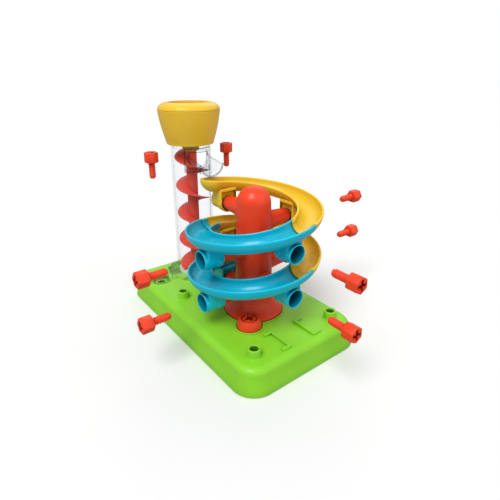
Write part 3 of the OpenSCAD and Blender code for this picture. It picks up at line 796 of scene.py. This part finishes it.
def case_screws():
    """Three small pan-head screws, one piece, seen in their holes at the tower's back."""
    whole = None
    for z in CASE_SCREWS:
        place = case_screw_place(z, 1)
        profile = [(0, -8), (0.5, -8)]
        height = -7.2
        while height < 5.8:
            profile += [(1.25, height), (1.0, height + 0.3)]
            height += 0.6
        profile += [(1.25, 6), (2.6, 6.01)] + arc(1.7, 7.1, 0.9, 0, 80, 5) + [(0, 8.05)]
        screw = lathe("tool", profile, place, 32)
        cut(screw, [rounded_box((-1.6, -0.3, 7.1), (1.6, 0.3, 9), 0, place),
                    rounded_box((-0.3, -1.6, 7.1), (0.3, 1.6, 9), 0, place)])
        whole = join(whole, [screw]) if whole else screw
    dress(whole, "tower_case_screws_piece", STEEL, "base", ["tower_case_screws"])


# ---- Lift ----
TUBE_R = 22.6
TUBE_WALL = 1.8
FLANGE_R = 34.5
FLANGE_T = 2.5
OUT_ANGLE = -8.0
OUT_LOW = 156.0
OUT_HIGH = 175.5
IN_ANGLE = 16.0
IN_TOP = 45.0


def radial_box(angle, near, far, half_w, low, high):
    """Block that points out from the tube's axis at an angle."""
    place = at(TUBE_X) @ Matrix.Rotation(math.radians(angle), 4, "Z")
    return rounded_box((near, -half_w, low), (far, half_w, high), 0, place)


def tube_body(bore):
    """Tube with its foot flange and a fillet between the two."""
    wall = [(bore, DECK), (TUBE_R, DECK), (TUBE_R, DECK + FLANGE_T + 2.5), (TUBE_R, BUSH_TOP - 0.4),
            (TUBE_R - 0.4, BUSH_TOP), (bore + 0.4, BUSH_TOP), (bore, BUSH_TOP - 0.4)]
    tube = lathe("tube", wall, at(TUBE_X), 128, closed=True)
    flange = [(bore + 0.5, DECK), (FLANGE_R - 0.3, DECK)]
    flange += arc(FLANGE_R - 0.8, DECK + FLANGE_T - 0.8, 0.8, 0, 90, 4)
    flange += arc(TUBE_R + 2.2, DECK + FLANGE_T + 2.2, 2.2, -90, -180, 5)
    flange += [(TUBE_R - 0.5, DECK + FLANGE_T + 2.2), (bore + 0.5, DECK + FLANGE_T)]
    return join(tube, [lathe("tool", flange, at(TUBE_X), 128, closed=True)])


def flange_arch():
    """Half ring that stands on the flange's edge."""
    hoop = [(3.6, -4), (5.0, -4), (5.0, 4), (3.6, 4)]
    lying = at(TUBE_X - 9.5, -28.5, DECK + FLANGE_T) @ Matrix.Rotation(math.pi / 2, 4, "X")
    arch = lathe("tool", hoop, lying, 48, closed=True)
    below = rounded_box((TUBE_X - 20, -40, DECK - 8), (TUBE_X + 5, -20, DECK + FLANGE_T - 0.3), 0)
    return cut(arch, [below])


def lift_tube():
    bore = TUBE_R - TUBE_WALL
    tube = tube_body(bore)
    parts = [foot_lobe(13.5, at(x, y)) for x, y in TUBE_LOBES]
    for y in (-1, 1):
        low, high = sorted((y * (TUBE_R + 1), y * TUBE_LOBE_OUT))
        parts.append(rounded_box((TUBE_X - 10, low, DECK), (TUBE_X + 10, high, DECK + FLANGE_T), 0.3))
    join(tube, parts + [flange_arch()])
    # Two ribs inside keep the marbles from turning with the screw.
    for side in (-1, 1):
        join(tube, [radial_box(IN_ANGLE + 33 * side, bore - 1, bore + 0.9, 1, IN_TOP, OUT_LOW)])
    cut(tube, [radial_box(IN_ANGLE, 10, 34, 8.6, DECK + FLANGE_T + 0.7, IN_TOP),
               radial_box(OUT_ANGLE, 10, 34, 10.2, OUT_LOW, OUT_HIGH)])
    cut(tube, [lobe_bore(at(x, y), LOBE_T + 0.6) for x, y in TUBE_LOBES])
    dress(tube, "lift_tube_piece", CLEAR, "base", ["lift_tube"])


SPOUT_R = 12.0
SPOUT_WALL = 1.6
SPOUT_REACH = 57.0
SPOUT_LIP = 170.8


def outlet_spout():
    """U-shaped chute on a saddle that hugs the tube round its outlet window."""
    slope = Matrix.Rotation(math.radians(5), 4, "Y")
    place = at(TUBE_X, 0, SPOUT_LIP) @ Matrix.Rotation(math.radians(OUT_ANGLE), 4, "Z") @ slope
    rings = []
    for i in range(25):
        x = 18 + (SPOUT_REACH - 18) * i / 24
        flare = 0.8 * max(0.0, (x - SPOUT_REACH + 8) / 8) ** 2
        section = shell_section(SPOUT_R + flare, SPOUT_R - SPOUT_WALL + flare, 0.8, 0.5)
        rings.append([place @ Vector((x, y, z)) for y, z in section])
    chute = loft("chute", rings)
    low, high = 152.0, 178.0
    ring = [(TUBE_R + 0.05, low), (TUBE_R + 1.65, low), (TUBE_R + 1.65, high), (TUBE_R + 0.05, high)]
    saddle = lathe("tool", ring, at(TUBE_X), 128, closed=True)
    combine(saddle, [radial_box(OUT_ANGLE, 5, 40, 15, low - 1, high + 1)], "INTERSECT")
    join(chute, [saddle])
    lug_low = (SPOUT_REACH - 1.6, -SPOUT_R - 1.5, -7.5)
    lug_high = (SPOUT_REACH, -SPOUT_R + 1.0, 0.4)
    join(chute, [rounded_box(lug_low, lug_high, 0.4, place)])
    inner = SPOUT_R - SPOUT_WALL
    tunnel = arc(0, 0, inner, 0, -180, 24) + [(-inner, 4.7), (inner, 4.7)]
    cut(chute, [loft("tool", [[place @ Vector((x, y, z)) for y, z in tunnel] for x in (10, 27)])])
    cut(chute, [disc(TUBE_R + 0.05, 140, 190, at(TUBE_X), 0, 128)])
    dress(chute, "outlet_spout_piece", CLEAR_CHUTE, "base", ["outlet_spout"])


TRAY_PATH = ((-14.3, 20.1), (-37.0, 17.0), (-58.0, 5.0))


def capsule(a, b, r, low, high, place=Matrix.Identity(4)):
    """Upright block whose plan is a straight channel with round ends."""
    heading = math.degrees(math.atan2(b[1] - a[1], b[0] - a[0]))
    plan = arc(b[0], b[1], r, heading - 90, heading + 90, 20)
    plan += arc(a[0], a[1], r, heading + 90, heading + 270, 20)
    return loft("tool", [[place @ Vector((x, y, z)) for x, y in plan] for z in (low, high)])


def inlet_tray():
    inner, outer = 8.2, 9.6
    top = 40.0
    pairs = list(zip(TRAY_PATH, TRAY_PATH[1:]))
    block, *rest = [capsule(a, b, outer, DECK, top) for a, b in pairs]
    join(block, rest)
    low_end = TRAY_PATH[2][0]
    tilt = at(low_end, 0, DECK + 3.2) @ Matrix.Rotation(math.radians(-5), 4, "Y") @ at(-low_end)
    channel, *rest = [capsule(a, b, inner, 0, 40, tilt) for a, b in pairs]
    join(channel, rest)
    cut(block, [channel])
    cut(block, [disc(TUBE_R + 0.05, DECK - 1, 60, at(TUBE_X), 0, 128),
                disc(FLANGE_R + 0.3, DECK - 1, DECK + FLANGE_T + 0.05, at(TUBE_X), 0, 128)])
    dress(block, "inlet_tray_piece", CLEAR, "base", ["inlet_tray"])


def bush_and_bearing():
    bore = TUBE_R - TUBE_WALL - 0.05
    low = BUSH_TOP - 5
    inner = HUB_R + 0.05
    ring = [(inner + 0.2, low), (bore - 0.3, low), (bore, low + 0.3), (bore, BUSH_TOP - 0.3),
            (bore - 0.3, BUSH_TOP), (inner + 0.3, BUSH_TOP), (inner, BUSH_TOP - 0.3), (inner, low + 0.3)]
    dress(lathe("bush", ring, at(TUBE_X), 96, closed=True), "top_bush_piece", CLEAR, "base",
          ["top_bush"])
    ring = [(3.05, DECK), (bore, DECK), (bore, DECK + 2.6), (bore - 0.4, DECK + 3), (6.0, DECK + 3),
            (5.6, DECK + 2.6), (3.6, DECK + 2.6), (3.05, DECK + 2.3)]
    dress(lathe("bearing", ring, at(TUBE_X), 96, closed=True), "bottom_bearing_piece", WHITE, "base",
          ["bottom_bearing"])


SHAFT_R = 6.3
FLIGHT_R = 18.9
FLIGHT_PITCH = 33.0
FLIGHT_TURN = math.radians(-78.5)


def lift_screw():
    """Shaft with its pivot and square drive, and a left-handed flight with a rounded edge."""
    foot = DECK + 3.2
    hub = HUB_FOOT - 0.3
    shaft = [(0, DECK + 0.2), (2.5, DECK + 0.2), (3.0, DECK + 0.7), (3.0, foot), (SHAFT_R - 0.4, foot),
             (SHAFT_R, foot + 0.4), (SHAFT_R, hub - 0.4), (SHAFT_R - 0.4, hub), (0, hub)]
    body = lathe("lift_screw", shaft, at(TUBE_X), 64)
    start, end = foot + 0.5, 169.5
    turns = (end - start) / FLIGHT_PITCH
    steps = int(turns * 60)
    blade = [(SHAFT_R - 2, -1.7), (SHAFT_R + 1.0, -1.25), (SHAFT_R + 3, -1.0), (FLIGHT_R - 1.0, -0.8)]
    blade += [(FLIGHT_R - 0.8 + 0.8 * math.cos(a), 0.8 * math.sin(a))
              for a in (math.radians(d) for d in (-60, -20, 20, 60))]
    blade += [(r, -z) for r, z in reversed(blade[:4])]
    rings = []
    for k in range(steps + 1):
        a = FLIGHT_TURN - 2 * math.pi * turns * k / steps
        z = start + (end - start) * k / steps + 1.0
        rings.append([(TUBE_X + r * math.cos(a), r * math.sin(a), z + h) for r, h in blade])
    join(body, [loft("tool", rings)])
    square_low = (TUBE_X - SQUARE_HALF, -SQUARE_HALF, hub - 1)
    square_high = (TUBE_X + SQUARE_HALF, SQUARE_HALF, SQUARE_TOP)
    join(body, [rounded_box(square_low, square_high, 0.3)])
    cut(body, [disc(1.95, HUB_FOOT, 190, at(TUBE_X), 0, 32)])
    dress(body, "lift_screw_piece", RED_IN_TUBE, "lift_rotor", ["lift_screw"])


KNOB_Z = 182.0
RIM_Z = 217.0
KNOB_TOP = 225.0
KNOB_R = 34.0
MOUTH_R = 21.8
BOWL_FOOT_R = 26.2
SKIRT_R_IN = 24.0
SKIRT_DROP = 1.4


def bowl_radius(k):
    """Outside radius of the knob's bowl, from its underside (0) to its parting line (1)."""
    return BOWL_FOOT_R + (KNOB_R - BOWL_FOOT_R) * (1.5 * k - 0.5 * k * k)


def knob_bowl():
    """Bowl with a short skirt over the tube's top, and a hub that fits the screw's square."""
    wall = 2.2
    floor_top = KNOB_Z + wall
    height = RIM_Z - 0.35 - KNOB_Z
    skirt_z = KNOB_Z - SKIRT_DROP
    skirt = [(SKIRT_R_IN, KNOB_Z), (SKIRT_R_IN, skirt_z), (BOWL_FOOT_R - 0.2, skirt_z)]
    side = [(bowl_radius(k / 14), KNOB_Z + height * k / 14) for k in range(15)]
    outside = skirt + side + [(KNOB_R - 0.3, RIM_Z)]
    inside = [(KNOB_R - wall, RIM_Z)] + [(r - wall, z) for r, z in reversed(side[2:])]
    inside += [(22.6, floor_top + 1), (21.0, floor_top)]
    hub = [(HUB_R + 0.3, floor_top), (HUB_R, floor_top + 0.3), (HUB_R, HUB_TOP - 0.4),
           (HUB_R - 0.4, HUB_TOP), (0, HUB_TOP)]
    neck = [(0, HUB_FOOT), (HUB_R - 0.4, HUB_FOOT), (HUB_R, HUB_FOOT + 0.4), (HUB_R, KNOB_Z)]
    bowl = lathe("bowl", neck + outside + inside + hub, at(TUBE_X), 128)
    fit = SQUARE_HALF + 0.1
    cut(bowl, [rounded_box((TUBE_X - fit, -fit, 170), (TUBE_X + fit, fit, SQUARE_TOP + 0.2), 0),
               disc(2.1, 180, 190, at(TUBE_X), 0, 32)])
    dress(bowl, "knob_bowl_piece", YELLOW_KNOB, "lift_rotor", ["knob_bowl"])


def knob_rim():
    """Rounded rim over the bowl, with a spigot inside it and a round mouth at the top."""
    thick = 2.0
    seat = RIM_Z + 0.15
    edge = 0.5

    def crown(inset, a):
        a = math.radians(a)
        return (MOUTH_R + edge + (KNOB_R - MOUTH_R - edge - inset) * math.cos(a),
                seat + (KNOB_TOP - seat - inset) * math.sin(a))

    rim = [(31.3, RIM_Z - 3), (31.3, seat), (KNOB_R - 0.3, seat)]
    rim += [crown(0, a) for a in range(3, 88, 4)]
    rim += arc(MOUTH_R + edge, KNOB_TOP - edge, edge, 90, 180, 4)
    rim += [(MOUTH_R, 212), (MOUTH_R + 0.9, 211.5), (MOUTH_R + thick, 212)]
    rim += [crown(thick, a) for a in range(78, 28, -6)] + [(29.8, RIM_Z + 2), (29.8, RIM_Z - 3)]
    dress(lathe("rim", rim, at(TUBE_X), 128, closed=True), "knob_rim_piece", YELLOW_KNOB, "lift_rotor",
          ["knob_rim"])


def knob_fixing_screw():
    """Steel screw with a domed head and a cross recess, down through the knob's hub."""
    foot = HUB_FOOT + 1
    profile = [(0, foot), (1.5, foot), (1.9, foot + 0.6), (1.9, HUB_TOP), (4.0, HUB_TOP)]
    for i in range(6):
        a = math.radians(15 * i)
        profile.append((4.0 * math.cos(a), HUB_TOP + 0.4 + 2.2 * math.sin(a)))
    profile.append((0, HUB_TOP + 2.6))
    screw = lathe("screw", profile, at(TUBE_X), 40)
    low = HUB_TOP + 1.2
    high = HUB_TOP + 4
    cut(screw, [rounded_box((TUBE_X - 2.4, -0.4, low), (TUBE_X + 2.4, 0.4, high), 0),
                rounded_box((TUBE_X - 0.4, -2.4, low), (TUBE_X + 0.4, 2.4, high), 0)])
    dress(screw, "knob_fixing_screw_piece", STEEL, "lift_rotor", ["knob_fixing_screw"])


# ---- Plastic screws ----
HEAD_R = 7.4
HEAD_L = 11.5
SHANK_R = 3.7
SHANK_L = 17.0


def hexagon(r, corner, z):
    """Six-sided ring of a given radius over its corners, which are rounded."""
    ring = []
    inner = r - corner
    for i in range(6):
        middle_angle = 60 * i
        cx = inner * math.cos(math.radians(middle_angle))
        cy = inner * math.sin(math.radians(middle_angle))
        ring += [(x, y, z) for x, y in arc(cx, cy, corner, middle_angle - 30, middle_angle + 30, 4)]
    return ring


def plastic_screw_mesh():
    """Six-sided head with a cross recess over a coarse threaded shank; its head's
    underside is just above z = 0, clear of its seat, and its shank points down."""
    corner = 1.2
    chamfer = [(1.0, 0.15), (0.35, 0.45), (0.0, 1.1)]
    rings = [hexagon(HEAD_R - inset, corner, z) for inset, z in chamfer]
    rings += [hexagon(HEAD_R - inset, corner, HEAD_L - z) for inset, z in reversed(chamfer)]
    head = loft("plastic_screw", rings)
    thread_pitch = 2.4
    root = SHANK_R - 0.6
    rows = int(SHANK_L / 0.2)
    around = 40
    verts = []
    for k in range(rows + 1):
        z = -SHANK_L + (SHANK_L + 0.4) * k / rows
        taper = min(1.0, 0.72 + 0.28 * (z + SHANK_L) / 2.2)
        fade = min(1.0, max(0.0, -z / 1.2))
        for i in range(around):
            a = 2 * math.pi * i / around
            phase = (z / thread_pitch - i / around) % 1.0
            ridge = max(0.0, 1 - abs(phase - 0.5) / 0.34)
            r = (root + (SHANK_R - root) * min(1.0, ridge * 1.5) * fade) * taper
            verts.append((r * math.cos(a), r * math.sin(a), z))
    rings = [verts[k * around:(k + 1) * around] for k in range(rows + 1)]
    join(head, [loft("tool", rings)])
    arms = []
    for turn in (0, 90):
        place = Matrix.Rotation(math.radians(turn), 4, "Z")
        wide = [(x * 5.4, y * 1.6) for x, y in ((-1, -1), (1, -1), (1, 1), (-1, 1))]
        deep = [(x * 0.72, y * 0.8) for x, y in wide]
        arms.append(loft("tool", [[place @ Vector((x, y, HEAD_L - 3.8)) for x, y in deep],
                                  [place @ Vector((x, y, HEAD_L + 0.2)) for x, y in wide]]))
    cut(head, arms)
    return head


def place_screws():
    """Copies the screw to every screw node; a screw's head faces away from its hole."""
    pattern = plastic_screw_mesh()
    ways = {"left": (0, -1, 0), "right": (1, 0, 0), "rear": (0, 1, 0), "tube_side": (-1, 0, 0),
            "tube_foot": (0, 0, 1), "tower_foot": (0, 0, 1)}
    nodes = [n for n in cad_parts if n.endswith("_screw") or "foot_screw" in n]
    for node in sorted(nodes):
        way = [Vector(v) for key, v in ways.items() if node.startswith(key)]
        if not way:
            continue
        low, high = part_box(node)
        centre = (low + high) / 2 / MM
        seat = centre + way[0] * ((SHANK_L + HEAD_L) / 2 - HEAD_L)
        turn = UP.rotation_difference(way[0]).to_matrix().to_4x4()
        screw = copy_of(pattern, node + "_piece")
        screw.data.transform(Matrix.Translation(seat * MM) @ turn)
        dress(screw, node + "_piece", RED, node, [node])
    bpy.data.objects.remove(pattern)


# ---- Marbles ----
def marbles():
    for node in ("marble_at_lift", "marble_waiting"):
        low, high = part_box(node)
        centre = (low + high) / 2 / MM
        r = (high.x - low.x) / 2 / MM
        profile = [(0, -r)] + arc(0, 0, r, -88, 88, 44) + [(0, r)]
        ball = lathe(node, profile, at(*centre), 72)
        dress(ball, node + "_piece", GLASS, node, [node], crease=180)


# ---- Stage ----
def stage():
    floor_mesh = bpy.data.meshes.new("floor")
    reach = 6.0
    corners = [(reach * x, reach * y, 0) for x, y in ((-1, -1), (1, -1), (1, 1), (-1, 1))]
    floor_mesh.from_pydata(corners, [], [(0, 1, 2, 3)])
    floor = bpy.data.objects.new("floor", floor_mesh)
    bpy.context.scene.collection.objects.link(floor)
    floor.location.z = -0.0002
    material, tree = new_material("floor")
    out = add(tree, "ShaderNodeOutputMaterial")
    shader = add(tree, "ShaderNodeBsdfPrincipled", roughness=0.9)
    # Paler to the camera than to the light that it throws back on the toy.
    seen = add(tree, "ShaderNodeLightPath").outputs["Is Camera Ray"]
    tree.links.new(mixed_colour(tree, seen, (0.34, 0.34, 0.34, 1), (0.96, 0.96, 0.96, 1)),
                   shader.inputs["Base Color"])
    tree.links.new(shader.outputs["BSDF"], out.inputs["Surface"])
    floor_mesh.materials.append(material)

    world = bpy.data.worlds.new("studio")
    world.use_nodes = True
    sky = world.node_tree.nodes["Background"]
    sky.inputs["Color"].default_value = (1, 1, 1, 1)
    sky_seen = add(world.node_tree, "ShaderNodeLightPath").outputs["Is Camera Ray"]
    world.node_tree.links.new(ranged(world.node_tree, sky_seen, 0.45, 1.0), sky.inputs["Strength"])
    bpy.context.scene.world = world
    # Suns light the floor evenly to the horizon: name, direction it comes from, width, strength.
    lights = (("key", (0.30, -0.60, 1.0), 30, 1.85), ("fill", (1.0, 0.35, 0.55), 60, 0.40),
              ("back", (-0.8, 0.7, 0.9), 50, 0.40))
    for name, origin, width, strength in lights:
        lamp = bpy.data.lights.new(name, "SUN")
        lamp.angle = math.radians(width)
        lamp.energy = strength
        obj = bpy.data.objects.new(name, lamp)
        bpy.context.scene.collection.objects.link(obj)
        obj.rotation_euler = Vector(origin).to_track_quat("Z", "Y").to_euler()


def camera():
    """Camera at the object's shown angle: from its tower end, over the long side."""
    data = bpy.data.cameras.new("camera")
    data.sensor_width = 36.0
    data.lens = 29.56
    data.shift_y = -0.060
    data.clip_start = 0.01
    obj = bpy.data.objects.new("camera", data)
    bpy.context.scene.collection.objects.link(obj)
    obj.location = (0.3265, -0.2301, 0.2583)
    obj.rotation_euler = (math.radians(90 - 20.21), 0, math.radians(52.23))
    bpy.context.scene.camera = obj


base_tray()
spiral_track()
tower()
case_screws()
lift_tube()
outlet_spout()
inlet_tray()
bush_and_bearing()
lift_screw()
knob_bowl()
knob_rim()
knob_fixing_screw()
place_screws()
marbles()
stage()
camera()
bpy.context.scene.view_settings.view_transform = "Standard"
